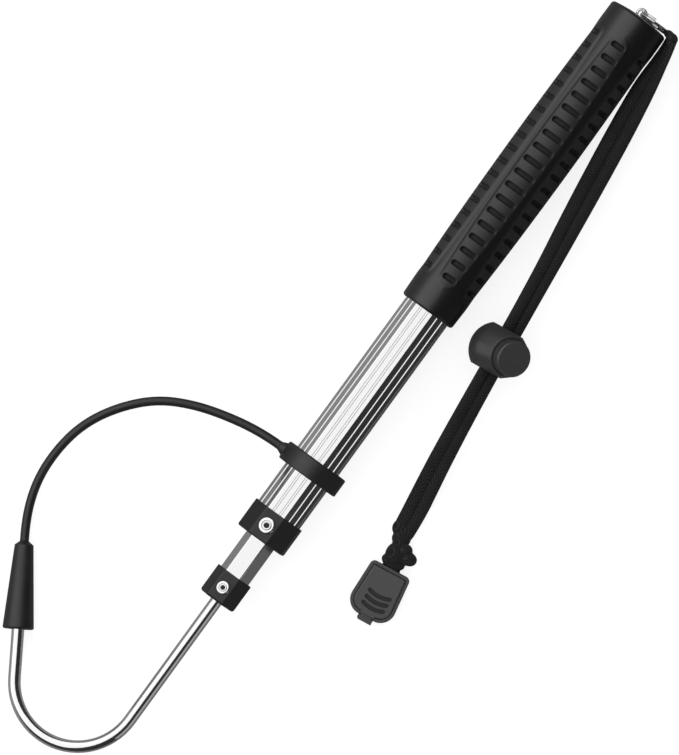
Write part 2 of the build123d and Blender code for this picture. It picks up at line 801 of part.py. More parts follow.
with BuildPart() as clip_lid:
    with BuildSketch(clip_plane.offset(clip_lid_bottom)):
        add(clip_lid_shape)
    extrude(amount=clip_lid_thickness)
    fillet(clip_lid.faces().sort_by(Axis.Z)[-1].edges(), clip_lid_edge)
    with BuildSketch(clip_plane.offset(tongue_bottom)):
        with Locations((tongue_end - 2 * clip_rim, 0)):
            Rectangle(4 * clip_rim, clip_tab_width - 2 * clip_tongue_gap)
    extrude(amount=clip_lid_top - tongue_bottom)
    with BuildSketch(clip_plane.offset(clip_lid_top - clip_groove_depth)):
        for step in range(clip_groove_count):
            with Locations((step * clip_groove_pitch, 0)):
                SlotArc(groove_line.wire(), clip_groove_width)
    extrude(amount=2 * clip_groove_depth, mode=Mode.SUBTRACT)
clip_lid.part.label = "clip_lid"

with BuildPart() as clip_hinge_web:
    web_end = clip_length + clip_tab_reach
    with BuildSketch(clip_plane.offset(clip_base_height / 2)):
        with Locations(((clip_length + web_end) / 2 + seat_gap, 0)):
            Rectangle(web_end - clip_length, clip_tab_width)
    extrude(amount=clip_lid_top - clip_base_height / 2)
    fillet(clip_hinge_web.edges().filter_by(Axis.Z).group_by(Axis.X)[-1], clip_tab_corner)
    # the strip over the rim, and the bead on the hinge line that the lid turns about
    with BuildSketch(clip_plane.offset(tongue_bottom)):
        with Locations(((hinge_u + web_end) / 2, 0)):
            Rectangle(web_end - hinge_u, clip_tab_width - 2 * clip_tab_corner)
    extrude(amount=hinge_strip_high - hinge_strip_low)
    bead_centre = clip_plane.from_local_coords(Vector(hinge_u, 0, hinge_height))
    with BuildSketch(Plane(bead_centre, x_dir=clip_plane.x_dir, z_dir=clip_plane.y_dir)):
        Circle(hinge_bead_radius)
    extrude(amount=clip_tab_width / 2, both=True)
clip_hinge_web.part.label = "clip_hinge_web"

# ---------------------------------------------------------------- cord lock
lock_along = Vector(cos(radians(lock_angle)), sin(radians(lock_angle)), 0)
lock_side = Vector(-sin(radians(lock_angle)), cos(radians(lock_angle)), 0)
lock_axis = lock_side * sin(radians(lock_lean)) + Vector(0, 0, cos(radians(lock_lean)))
lock_plane = Plane(
    origin=(lock_centre_x, lock_centre_y, floor_z + lock_ball_radius),
    x_dir=lock_along,
    z_dir=lock_axis,
)
# the flank is the line from the rim that touches the ball
rim_reach = (lock_rim_radius**2 + lock_rim_height**2) ** 0.5
flank_angle = atan2(lock_rim_height, lock_rim_radius) - acos(lock_ball_radius / rim_reach)
flank_start = (lock_ball_radius * cos(flank_angle), lock_ball_radius * sin(flank_angle))
belly_turn = radians(lock_belly_angle)
belly_point = (lock_ball_radius * cos(belly_turn), lock_ball_radius * sin(belly_turn))
button_bore_radius = lock_button_radius + button_gap
slot_floor = lock_slot_offset - lock_slot_height / 2
cord_bottom = lock_slot_offset - strand_diameter / 2

with BuildPart() as lock_body:
    with BuildSketch(Plane(lock_plane.origin, x_dir=lock_along, z_dir=-lock_plane.y_dir)):
        with BuildLine():
            ThreePointArc(
                (0, -lock_ball_radius),
                belly_point,
                flank_start,
            )
            Polyline(
                flank_start,
                (lock_rim_radius, lock_rim_height),
                (0, lock_rim_height),
                (0, -lock_ball_radius),
            )
        make_face()
    revolve(axis=Axis(lock_plane.origin, lock_plane.z_dir))
    fillet(lock_body.faces().filter_by(GeomType.PLANE).edges(), lock_rim_edge)
    with BuildSketch(lock_plane.offset(-lock_ball_radius)):
        Rectangle(lock_width, 3 * lock_ball_radius)
    extrude(amount=3 * lock_ball_radius, mode=Mode.INTERSECT)
    with BuildSketch(lock_plane.offset(lock_bore_floor)):
        Circle(button_bore_radius)
    extrude(amount=3 * lock_ball_radius, mode=Mode.SUBTRACT)
    with BuildSketch(lock_plane.offset(lock_pocket_floor)):
        Circle(spring_pocket_radius)
    extrude(amount=lock_ball_radius, mode=Mode.SUBTRACT)
    with BuildSketch(lock_plane.offset(slot_floor)):
        Rectangle(2 * lock_width, lock_slot_width)
    extrude(amount=lock_slot_height, mode=Mode.SUBTRACT)
lock_body.part.label = "lock_body"

with BuildPart() as lock_button:
    with BuildSketch(lock_plane.offset(lock_button_bottom)):
        Circle(lock_button_radius)
    extrude(amount=lock_button_top - lock_button_bottom)
    fillet(lock_button.faces().sort_by(Axis.Z)[-1].edges(), button_edge)
    with BuildSketch(lock_plane.offset(cord_bottom - slot_gap)):
        Rectangle(3 * lock_button_radius, lock_slot_width)
    extrude(amount=strand_diameter + 2 * slot_gap + lock_press, mode=Mode.SUBTRACT)
    with BuildSketch(lock_plane.offset(lock_button_bottom)):
        Circle(spring_pocket_radius)
    extrude(amount=button_recess, mode=Mode.SUBTRACT)
lock_button.part.label = "lock_button"

with BuildPart() as lock_spring:
    spring_low = lock_pocket_floor + spring_wire / 2 + seat_gap
    spring_high = lock_button_bottom + button_recess - spring_wire / 2 - seat_gap
    with BuildLine():
        spring_line = Helix(
            pitch=(spring_high - spring_low) / spring_turns,
            height=spring_high - spring_low,
            radius=spring_radius,
            center=lock_plane.from_local_coords(Vector(0, 0, spring_low)),
            direction=lock_plane.z_dir,
        )
    with BuildSketch(Plane(origin=spring_line @ 0, z_dir=spring_line % 0)):
        Circle(spring_wire / 2)
    sweep(is_frenet=True)
lock_spring.part.label = "lock_spring"

# ---------------------------------------------------------------- files
for piece in (
    grip_sleeve,
    outer_tube,
    butt_plug,
    lanyard_eye,
    split_ring,
    outer_collar,
    outer_rivet,
    outer_rivet_mandrel,
    middle_tube,
    middle_glide,
    middle_glide_ring,
    inner_collar,
    inner_rivet,
    inner_rivet_mandrel,
    hook_rod,
    rod_glide,
    rod_pin,
    protector_ring,
    protector_tether,
    tip_cover,
    lanyard_bight,
    lanyard_strand_outer,
    lanyard_strand_inner,
    lanyard_knot,
    clip_base,
    clip_lid,
    clip_hinge_web,
    lock_body,
    lock_button,
    lock_spring,
):
    export_step(piece.part, f"parts/{piece.part.label}.step")
    print(piece.part.label, round(piece.part.volume, 1))
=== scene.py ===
"""The telescopic gaff's looks: detailed meshes, procedural materials, floor, light and camera.

Everything is in metres in the row frame: +X from the butt to the hook, +Y the lanyard's side, +Z up.
The hook, the point cover and the tether lie in one plane through the pole's axis, rolled about X.
"""

import bpy, json
import numpy as np
from math import cos, pi, radians, sin, sqrt, tan
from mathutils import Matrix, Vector


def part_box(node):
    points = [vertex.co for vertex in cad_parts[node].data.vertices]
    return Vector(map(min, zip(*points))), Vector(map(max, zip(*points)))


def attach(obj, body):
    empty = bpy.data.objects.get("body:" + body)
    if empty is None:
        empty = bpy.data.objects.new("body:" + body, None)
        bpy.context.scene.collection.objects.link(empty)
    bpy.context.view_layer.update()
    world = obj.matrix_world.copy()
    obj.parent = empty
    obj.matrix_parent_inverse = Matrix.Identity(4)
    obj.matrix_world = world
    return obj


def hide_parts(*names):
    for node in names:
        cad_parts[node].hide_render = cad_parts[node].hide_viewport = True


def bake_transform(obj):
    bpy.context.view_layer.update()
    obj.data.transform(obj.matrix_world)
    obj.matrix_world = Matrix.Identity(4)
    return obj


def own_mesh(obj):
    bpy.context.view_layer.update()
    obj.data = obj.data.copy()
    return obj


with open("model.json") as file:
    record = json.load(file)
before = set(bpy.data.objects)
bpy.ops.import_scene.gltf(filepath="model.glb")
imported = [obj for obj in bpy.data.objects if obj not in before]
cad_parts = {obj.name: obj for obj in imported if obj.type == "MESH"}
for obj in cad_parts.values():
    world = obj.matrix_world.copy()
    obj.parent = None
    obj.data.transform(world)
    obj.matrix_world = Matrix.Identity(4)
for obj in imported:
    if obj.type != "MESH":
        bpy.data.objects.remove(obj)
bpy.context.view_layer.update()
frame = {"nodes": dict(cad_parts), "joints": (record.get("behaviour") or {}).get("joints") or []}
MM = 0.001

# ---------------------------------------------------------------- places taken from the frame
ROLL = radians(7.3)  # of the hook's plane about X
TOOL_Y = Vector((0, cos(ROLL), sin(ROLL)))
TOOL_N = Vector((0, -sin(ROLL), cos(ROLL)))
FLOOR_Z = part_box("protector_ring")[0][2]


def in_tool(u, v, n=0.0):
    """Millimetres in the hook's plane (along, across, out of it) to a point in metres."""
    return (Vector((u, 0, 0)) + TOOL_Y * v + TOOL_N * n) * MM


# ---------------------------------------------------------------- camera
VIEW_CENTRE = Vector((0.2215, -0.0150, 0.0))
VIEW_ANGLE = radians(126.008)  # the pole's direction across the picture
VIEW_DISTANCE = 4.0
PICTURE_HEIGHT = 0.3567
SENSOR = 36.0


def make_camera():
    data = bpy.data.cameras.new("camera")
    camera = bpy.data.objects.new("camera", data)
    bpy.context.scene.collection.objects.link(camera)
    camera.location = VIEW_CENTRE + Vector((0, 0, VIEW_DISTANCE))
    camera.rotation_euler = (0, 0, VIEW_ANGLE)
    data.sensor_fit = "VERTICAL"
    data.sensor_height = SENSOR
    data.lens = SENSOR * VIEW_DISTANCE / PICTURE_HEIGHT
    data.clip_end = 50
    bpy.context.scene.camera = camera


make_camera()


# ---------------------------------------------------------------- node helpers
def new_material(name):
    material = bpy.data.materials.new(name)
    material.use_nodes = True
    nodes = material.node_tree.nodes
    return material, nodes, material.node_tree.links, nodes["Principled BSDF"]


def add_node(nodes, kind, **inputs):
    """A shader node with its input sockets set by name, spaces written as underscores."""
    node = nodes.new(kind)
    for key, value in inputs.items():
        node.inputs[key.replace("_", " ")].default_value = value
    return node


def object_coordinates(nodes, links, scale=(1, 1, 1), rotation=(0, 0, 0)):
    source = nodes.new("ShaderNodeTexCoord")
    mapping = add_node(nodes, "ShaderNodeMapping", Scale=scale, Rotation=rotation)
    links.new(source.outputs["Object"], mapping.inputs["Vector"])
    return mapping.outputs["Vector"]


def noise(nodes, links, vector, scale, detail=3.0, roughness=0.5):
    node = add_node(
        nodes, "ShaderNodeTexNoise", Scale=scale, Detail=detail, Roughness=roughness
    )
    links.new(vector, node.inputs["Vector"])
    return node.outputs["Fac"]


def span(nodes, links, value, low, high, start=0.0, end=1.0):
    """value from start..end mapped onto low..high."""
    node = nodes.new("ShaderNodeMapRange")
    for key, number in (
        ("From Min", start),
        ("From Max", end),
        ("To Min", low),
        ("To Max", high),
    ):
        node.inputs[key].default_value = number
    links.new(value, node.inputs["Value"])
    return node.outputs["Result"]


def tint(nodes, links, value, dark, light):
    """A colour between two, by a value from 0 to 1."""
    ramp = nodes.new("ShaderNodeValToRGB")
    ramp.color_ramp.elements[0].color = (*dark, 1)
    ramp.color_ramp.elements[1].color = (*light, 1)
    links.new(value, ramp.inputs["Fac"])
    return ramp.outputs["Color"]


def bump(nodes, links, shader, height, distance, strength=1.0, below=None):
    node = add_node(nodes, "ShaderNodeBump", Strength=strength, Distance=distance)
    links.new(height, node.inputs["Height"])
    if below is not None:
        links.new(below, node.inputs["Normal"])
    links.new(node.outputs["Normal"], shader.inputs["Normal"])
    return node.outputs["Normal"]


def combine(nodes, links, operation, *values):
    """A maths node on outputs of other nodes or plain numbers."""
    node = nodes.new("ShaderNodeMath")
    node.operation = operation
    for socket, value in zip(node.inputs, values):
        if isinstance(value, float):
            socket.default_value = value
        else:
            links.new(value, socket)
    return node.outputs[0]


def point_value(nodes, name):
    """A number that the mesh keeps at each of its points."""
    node = nodes.new("ShaderNodeAttribute")
    node.attribute_name = name
    return node.outputs["Fac"]


# ---------------------------------------------------------------- materials
def rubber(name, dark, light, rough, specular, grain):
    """Moulded black rubber: fine grain and a faint cloudy sheen."""
    material, nodes, links, shader = new_material(name)
    where = object_coordinates(nodes, links)
    cloud = noise(nodes, links, where, 60, 4)
    links.new(tint(nodes, links, cloud, dark, light), shader.inputs["Base Color"])
    links.new(
        span(nodes, links, cloud, rough - 0.06, rough + 0.06, 0.3, 0.7),
        shader.inputs["Roughness"],
    )
    shader.inputs["Specular IOR Level"].default_value = specular
    fine = noise(nodes, links, where, 4200, 2)
    coarse = noise(nodes, links, where, 900, 3)
    first = bump(nodes, links, shader, coarse, grain * 1.5, 0.35)
    bump(nodes, links, shader, fine, grain, 0.55, first)
    return material


def grip_rubber():
    """One moulding with two surfaces: smooth at the ends and in the flutes, grained on the panels."""
    material, nodes, links, shader = new_material("grip_rubber_black")
    where = object_coordinates(nodes, links)
    grained = point_value(nodes, "textured")
    cloud = noise(nodes, links, where, 60, 4)
    smooth_tint = tint(nodes, links, cloud, (0.0015, 0.0015, 0.0017), (0.003, 0.003, 0.0033))
    grained_tint = tint(nodes, links, cloud, (0.0055, 0.0055, 0.006), (0.009, 0.009, 0.0095))
    mix = nodes.new("ShaderNodeMix")
    mix.data_type = "RGBA"
    links.new(grained, mix.inputs["Factor"])
    links.new(smooth_tint, mix.inputs[6])
    links.new(grained_tint, mix.inputs[7])
    links.new(mix.outputs[2], shader.inputs["Base Color"])
    rough = span(nodes, links, grained, 0.36, 0.52)
    rough = combine(nodes, links, "MULTIPLY_ADD", point_value(nodes, "recess"), 0.4, rough)
    links.new(rough, shader.inputs["Roughness"])
    shader.inputs["Specular IOR Level"].default_value = 0.78
    grain = combine(nodes, links, "MULTIPLY", noise(nodes, links, where, 2400, 3), grained)
    first = bump(nodes, links, shader, grain, 0.00012, 0.6)
    bump(nodes, links, shader, noise(nodes, links, where, 700, 3), 0.00002, 0.3, first)
    return material


def satin_plastic(name, dark, light, rough, specular=0.5):
    """Injection-moulded black plastic with a spark-eroded texture."""
    material, nodes, links, shader = new_material(name)
    where = object_coordinates(nodes, links)
    cloud = noise(nodes, links, where, 90, 4)
    links.new(tint(nodes, links, cloud, dark, light), shader.inputs["Base Color"])
    links.new(
        span(nodes, links, cloud, rough - 0.05, rough + 0.05, 0.3, 0.7),
        shader.inputs["Roughness"],
    )
    shader.inputs["Specular IOR Level"].default_value = specular
    bump(nodes, links, shader, noise(nodes, links, where, 2600, 3), 0.00004, 0.5)
    return material


def recess_shaded_plastic(name, dark, light, rough, top, depth):
    """Satin plastic with painted shade: darker below a height, in grooves and gaps."""
    material, nodes, links, shader = new_material(name)
    where = object_coordinates(nodes, links)
    split = nodes.new("ShaderNodeSeparateXYZ")
    links.new(where, split.inputs["Vector"])
    # painted shade: the colour is the dark grey below top - depth and reaches the light grey by top -
    # depth / 3
    above_painted_shade = span(nodes, links, split.outputs["Z"], 0, 1, top - depth, top - depth / 3)
    mottle = span(nodes, links, noise(nodes, links, where, 260, 4), 0.86, 1.0)
    mottled = combine(nodes, links, "MULTIPLY", above_painted_shade, mottle)
    links.new(tint(nodes, links, mottled, dark, light), shader.inputs["Base Color"])
    fine = noise(nodes, links, where, 1600, 3)
    links.new(span(nodes, links, fine, rough - 0.03, rough + 0.05), shader.inputs["Roughness"])
    shader.inputs["Specular IOR Level"].default_value = 0.75
    bump(nodes, links, shader, fine, 0.00001, 0.3)
    return material


def polished_metal(name, colour, rough, stretch, streak):
    """Polished metal with drawing lines along stretch, where the small scale runs along the grain."""
    material, nodes, links, shader = new_material(name)
    shader.inputs["Metallic"].default_value = 1.0
    lines = noise(nodes, links, object_coordinates(nodes, links, scale=stretch), 1.0, 4, 0.6)
    smudge = noise(nodes, links, object_coordinates(nodes, links), 45, 3)
    light = tuple(min(1.0, c * 1.04) for c in colour)
    dark = tuple(c * 0.90 for c in colour)
    links.new(tint(nodes, links, lines, dark, light), shader.inputs["Base Color"])
    links.new(
        span(nodes, links, smudge, rough * 0.8, rough * 1.35, 0.35, 0.7),
        shader.inputs["Roughness"],
    )
    bump(nodes, links, shader, lines, streak, 0.35)
    return material


def woven_cord(name, rotation):
    """Flat braided polyester: two crossing sets of yarns at a slant, a dull sheen and small flecks."""
    material, nodes, links, shader = new_material(name)
    where = object_coordinates(nodes, links, rotation=rotation)
    heights = []
    for slant in (1, -1):
        mapped = add_node(nodes, "ShaderNodeMapping", Scale=(1, slant, 1.0))
        links.new(where, mapped.inputs["Vector"])
        wave = nodes.new("ShaderNodeTexWave")
        wave.bands_direction = "DIAGONAL"
        wave.inputs["Scale"].default_value = 420
        wave.inputs["Distortion"].default_value = 0.6
        wave.inputs["Detail Scale"].default_value = 3.0
        links.new(mapped.outputs["Vector"], wave.inputs["Vector"])
        heights.append(wave.outputs["Fac"])
    yarn = combine(nodes, links, "MAXIMUM", *heights)
    fleck = noise(nodes, links, where, 1500, 2)
    wear = span(nodes, links, noise(nodes, links, where, 90, 3), 0.5, 1.3)
    worn = combine(nodes, links, "MULTIPLY", yarn, wear)
    colour = tint(nodes, links, worn, (0.0015, 0.0015, 0.002), (0.012, 0.012, 0.013))
    links.new(colour, shader.inputs["Base Color"])
    links.new(span(nodes, links, yarn, 0.82, 0.62), shader.inputs["Roughness"])
    shader.inputs["Sheen Weight"].default_value = 0.04
    shader.inputs["Sheen Roughness"].default_value = 0.45
    shader.inputs["Specular IOR Level"].default_value = 0.35
    first = bump(nodes, links, shader, yarn, 0.0003, 0.9)
    bump(nodes, links, shader, fleck, 0.00008, 0.5, first)
    return material


GRIP = grip_rubber()
SOFT = rubber(
    "protector_rubber_black",
    dark=(0.004, 0.004, 0.0045),
    light=(0.007, 0.007, 0.0075),
    rough=0.46,
    specular=0.7,
    grain=0.00002,
)
PLASTIC = satin_plastic(
    "black_plastic_satin", dark=(0.006, 0.006, 0.0065), light=(0.010, 0.010, 0.0105), rough=0.40
)
FITTING = satin_plastic(
    "dark_grey_plastic",
    dark=(0.024, 0.024, 0.025),
    light=(0.034, 0.034, 0.035),
    rough=0.33,
    specular=0.85,
)
# the lid's dark grey is painted shade in its grooves and in the gap at its rim
LID = recess_shaded_plastic(
    "lid_plastic",
    dark=(0.003, 0.003, 0.003),
    light=(0.040, 0.040, 0.041),
    rough=0.38,
    top=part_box("clip_lid")[1][2],
    depth=0.0009,
)
TUBE = polished_metal(
    "polished_tube", (0.82, 0.82, 0.83), rough=0.10, stretch=(6, 2600, 2600), streak=0.000015
)
ROD = polished_metal(
    "polished_rod", (0.86, 0.86, 0.87), rough=0.07, stretch=(60, 900, 900), streak=0.000008
)
BRIGHT = polished_metal(
    "bright_rivet", (0.92, 0.92, 0.93), rough=0.09, stretch=(400, 400, 400), streak=0.000008
)
# The mandrel stubs are near-black satin, not steel grey: painted shade in the rivet heads' bores.
MANDREL = satin_plastic(
    "mandrel_painted_shade", dark=(0.004, 0.004, 0.004), light=(0.009, 0.009, 0.009), rough=0.5
)
CORD = woven_cord("lanyard_weave", (0, 0, radians(-6.6)))
CORD_KNOT = woven_cord("knot_weave", (radians(25), 0, radians(38)))


# ---------------------------------------------------------------- mesh helpers
def make_object(name, points, faces, material, smooth=True):
    mesh = bpy.data.meshes.new(name)
    mesh.from_pydata([tuple(p) for p in points], [], faces)
    mesh.validate()
    mesh.materials.append(material)
    mesh.polygons.foreach_set("use_smooth", [smooth] * len(mesh.polygons))
    mesh.update()
    made = bpy.data.objects.new(name, mesh)
    bpy.context.scene.collection.objects.link(made)
    return made


def grid_faces(rows, columns, closed_rows=False, first=0):
    """Quads of a grid whose columns wrap round, and whose rows wrap too if closed_rows."""
    faces = []
    for i in range(rows if closed_rows else rows - 1):
        below = first + (i + 1) % rows * columns
        here = first + i * columns
        for j in range(columns):
            after = (j + 1) % columns
            faces.append((here + j, here + after, below + after, below + j))
    return faces


def lathe(name, profile, plane, material, columns=64, closed=False):
    """A turned piece. profile is (distance along, radius) in millimetres, and plane is the
    origin in metres with the directions along, side and up."""
    origin, along, side, up = plane
    points = []
    for distance, radius in profile:
        for j in range(columns):
            angle = 2 * pi * j / columns
            ray = side * cos(angle) + up * sin(angle)
            points.append(origin + along * distance * MM + ray * radius * MM)
    faces = grid_faces(len(profile), columns, closed)
    return make_object(name, points, faces, material)


def smooth_line(name, control_points):
    """Points of the NURBS line that a route's control points draw, in metres."""
    curve = bpy.data.curves.new(name, "CURVE")
    curve.dimensions = "3D"
    spline = curve.splines.new("NURBS")
    spline.points.add(len(control_points) - 1)
    for point, place in zip(spline.points, control_points):
        point.co = (*place, 1.0)
    spline.order_u = 3
    spline.use_endpoint_u = True
    spline.resolution_u = 12
    holder = bpy.data.objects.new(name, curve)
    bpy.context.scene.collection.objects.link(holder)
    bpy.context.view_layer.update()
    line = bpy.data.meshes.new_from_object(holder)
    points = [v.co.copy() for v in line.vertices]
    bpy.data.objects.remove(holder)
    bpy.data.meshes.remove(line)
    return points


def tube_along(name, path, sizes, material, across=None, columns=24):
    """A tube on a path. sizes gives (half width, half thickness) in metres at each point, and
    across the direction of the width there, or None for a round tube. Both ends are closed."""
    path = [Vector(p) for p in path]
    points = []
    side = Vector((0, 0, 1))
    for i, here in enumerate(path):
        ahead = (path[min(i + 1, len(path) - 1)] - path[max(i - 1, 0)]).normalized()
        if across is not None:
            side = Vector(across[i])
        side = (side - ahead * side.dot(ahead)).normalized()
        up = ahead.cross(side)
        half_width, half_thick = sizes[i]
        for j in range(columns):
            angle = 2 * pi * j / columns
            points.append(here + side * half_width * cos(angle) + up * half_thick * sin(angle))
    faces = grid_faces(len(path), columns)
    last = (len(path) - 1) * columns
    faces.append(tuple(range(columns)))
    faces.append(tuple(last + j for j in reversed(range(columns))))
    return make_object(name, points, faces, material)


# ---------------------------------------------------------------- tether, the first cord
TETHER_ROUTE = (  # along the pole, across it, and out of the hook's plane
    (0.2641, -0.0191, 0.0),
    (0.2641, -0.0270, 0.0),
    (0.2664, -0.0430, 0.0006),
    (0.2719, -0.0625, 0.0018),
    (0.2808, -0.0793, 0.0029),
    (0.2952, -0.0923, 0.0037),
    (0.3110, -0.1006, 0.0040),
    (0.3275, -0.1036, 0.0036),
    (0.3445, -0.1030, 0.0024),
    (0.3617, -0.0974, 0.0007),
    (0.37195, -0.09095, 0.0),
)
TETHER_DIAMETER = 0.0043


def make_tether():
    route = [in_tool(u / MM, v / MM, n / MM) for u, v, n in TETHER_ROUTE]
    line = smooth_line("tether_line", route)
    radius = TETHER_DIAMETER / 2
    piece = tube_along("tether_rubber", line, [(radius, radius)] * len(line), SOFT, columns=32)
    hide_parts("protector_tether")
    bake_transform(piece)


# ---------------------------------------------------------------- knot, the piece at the strands' end
def soft_union(name, lobes, voxel, rounds, material):
    """One smooth closed mesh round ellipsoids, each (centre, half sizes, turn about Z), in
    millimetres and radians."""
    points, faces = [], []
    rows, columns = 24, 32
    for centre, halves, turn in lobes:
        first = len(points)
        for i in range(rows + 1):
            polar = pi * (i + 0.02) / (rows + 0.04)
            for j in range(columns):
                angle = 2 * pi * j / columns
                x = halves[0] * sin(polar) * cos(angle)
                y = halves[1] * sin(polar) * sin(angle)
                z = halves[2] * cos(polar)
                points.append(
                    (
                        (centre[0] + x * cos(turn) - y * sin(turn)) * MM,
                        (centre[1] + x * sin(turn) + y * cos(turn)) * MM,
                        (centre[2] + z) * MM,
                    )
                )
        for face in grid_faces(rows + 1, columns, first=first):
            faces.append(tuple(reversed(face)))
        last = first + rows * columns
        faces.append(tuple(first + j for j in range(columns)))
        faces.append(tuple(last + j for j in reversed(range(columns))))
    rough = make_object(name + "_lobes", points, faces, material)
    remesh = rough.modifiers.new("remesh", "REMESH")
    remesh.mode = "VOXEL"
    remesh.voxel_size = voxel * MM
    remesh.use_smooth_shade = True
    relax = rough.modifiers.new("relax", "SMOOTH")
    relax.factor = 0.5
    relax.iterations = rounds
    bpy.context.view_layer.update()
    shaped = rough.evaluated_get(bpy.context.evaluated_depsgraph_get())
    mesh = bpy.data.meshes.new_from_object(shaped)
    bpy.data.objects.remove(rough)
    mesh.name = name
    piece = bpy.data.objects.new(name, mesh)
    bpy.context.scene.collection.objects.link(piece)
    if not mesh.materials:
        mesh.materials.append(material)
    return piece


def make_knot():
    floor = FLOOR_Z / MM
    lobes = [
        ((262.6, 54.0, floor + 2.5), (4.2, 3.9, 2.2), radians(6)),
        ((262.2, 50.2, floor + 2.4), (4.2, 3.9, 2.1), radians(14)),
        ((266.0, 53.6, floor + 3.0), (4.2, 4.6, 2.7), radians(22)),
        ((268.4, 54.2, floor + 4.1), (3.6, 3.5, 3.5), radians(15)),
        ((273.6, 55.6, floor + 4.9), (5.8, 4.9, 4.6), radians(14)),
        ((271.9, 61.9, floor + 4.9), (3.4, 4.3, 4.3), radians(10)),
        ((269.6, 58.4, floor + 5.2), (3.3, 3.6, 4.2), radians(30)),
        ((277.2, 57.0, floor + 3.9), (3.6, 6.0, 2.9), radians(8)),
        ((281.6, 58.1, floor + 2.8), (5.2, 5.0, 1.3), radians(7.5)),
    ]
    piece = soft_union("knot_cord", lobes, 0.3, 6, CORD_KNOT)
    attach(piece, "handle")
    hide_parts("lanyard_knot")
    return piece


KNOT = make_knot()

# ---------------------------------------------------------------- lanyard strands
OUTER_ROUTE = (
    (0.0006, 0.0190, 0.0027),
    (0.0050, 0.0202, 0.0024),
    (0.0140, 0.0216, 0.0012),
    (0.0260, 0.0237, -0.0008),
    (0.0430, 0.0264, -0.0021),
    (0.0660, 0.0296, -0.0026),
    (0.0960, 0.0333, -0.0018),
    (0.1275, 0.03721, -0.0012),
    (0.1915, 0.04462, -0.0012),
    (0.2220, 0.0487, -0.0046),
    (0.2400, 0.0518, -0.0108),
    (0.2515, 0.0539, -0.0137),
    (0.2625, 0.0547, -0.0140),
)
INNER_ROUTE = (
    (0.0006, 0.0174, -0.0027),
    (0.0050, 0.0179, -0.0028),
    (0.0145, 0.0184, -0.0024),
    (0.0265, 0.0186, -0.0026),
    (0.0430, 0.0203, -0.0026),
    (0.0660, 0.0232, -0.0018),
    (0.0965, 0.0274, 0.0002),
    (0.1280, 0.03224, 0.0016),
    (0.1920, 0.03964, 0.0016),
    (0.2225, 0.0436, -0.0028),
    (0.2405, 0.0465, -0.0103),
    (0.2520, 0.0484, -0.0135),
    (0.2625, 0.0500, -0.0140),
)
STRAND_WIDTH = 0.0055
STRAND_THICKNESS = 0.0036
STRAND_LOCK = 0.158  # the station where the cord lock grips it
STRAND_SPREAD = 0.16  # how much wider it lies away from the lock


def make_strand(name, node, own_route, other_route):
    """A flat braid whose broad side lies in the plane of the two strands."""
    line = smooth_line(name + "_line", own_route)
    other = smooth_line(name + "_beside", other_route)
    across = []
    for point in line:
        nearest = min(other, key=lambda q: (q - point).length_squared)
        across.append(nearest - point)
    for _ in range(40):
        across = [
            across[max(i - 1, 0)] + across[i] + across[min(i + 1, len(across) - 1)]
            for i in range(len(across))
        ]
        across = [a.normalized() for a in across]
    sizes = []
    for point in line:
        away = min(abs(point.x - STRAND_LOCK) / 0.08, 1)
        spread = 1 + STRAND_SPREAD * away**2 * (3 - 2 * away)
        sizes.append((STRAND_WIDTH / 2 * spread, STRAND_THICKNESS / 2))
    piece = tube_along(name, line, sizes, CORD, across, columns=28)
    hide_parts(node)
    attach(piece, "handle")


make_tether()
make_strand(
    "strand_outer_braid", "lanyard_strand_outer", OUTER_ROUTE, INNER_ROUTE
)
make_strand(
    "strand_inner_braid", "lanyard_strand_inner", INNER_ROUTE, OUTER_ROUTE
)

# ---------------------------------------------------------------- grip
GRIP_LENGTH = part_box("grip_sleeve")[1][0] / MM
PANELS = 6
PANEL_TURN = 2.0  # degrees that the upper panel is turned from +Z towards -Y
PANEL_START = 13.7
PANEL_END = 158.3
FLUTE_DEPTH = 0.5
SLOT_START = 18.4
SLOT_PITCH = 7.5
SLOT_COUNT = 19
SLOT_HALF_WIDTH = 1.35
SLOT_DEPTH = 1.9
BUTT_DISH = 1.2  # how far the middle of the butt face stands proud of its rim
BUTT_REACH = 13.7  # where the round at the butt starts
FRONT_REACH = 12.7
CORNER = 1.6  # the round at both ends


def smoothstep(value, low, high):
    t = np.clip((value - low) / (high - low), 0, 1)
    return t * t * (3 - 2 * t)


def grip_radius(x):
    """The sleeve's outer radius at a station, before flutes and slots."""
    stations = (2.8, 30.0, 82.0, 125.0, 170.4)
    radii = (15.3, 15.58, 15.85, 15.4, 14.3)
    coefficients = np.polyfit(stations, radii, 3)
    return np.polyval(coefficients, x)


def panel_half_width(x):
    """Half of a panel's width in millimetres: a spindle with round ends."""
    middle = (PANEL_START + PANEL_END) / 2
    reach = (PANEL_END - PANEL_START) / 2
    along = np.clip(np.abs(x - middle) / reach, 0, 1)
    spindle = 6.15 - 2.3 * along**2.2
    end = np.clip((reach - np.abs(x - middle)) / 4.0, 0, 1)
    return spindle * np.sqrt(1 - (1 - end) ** 2)


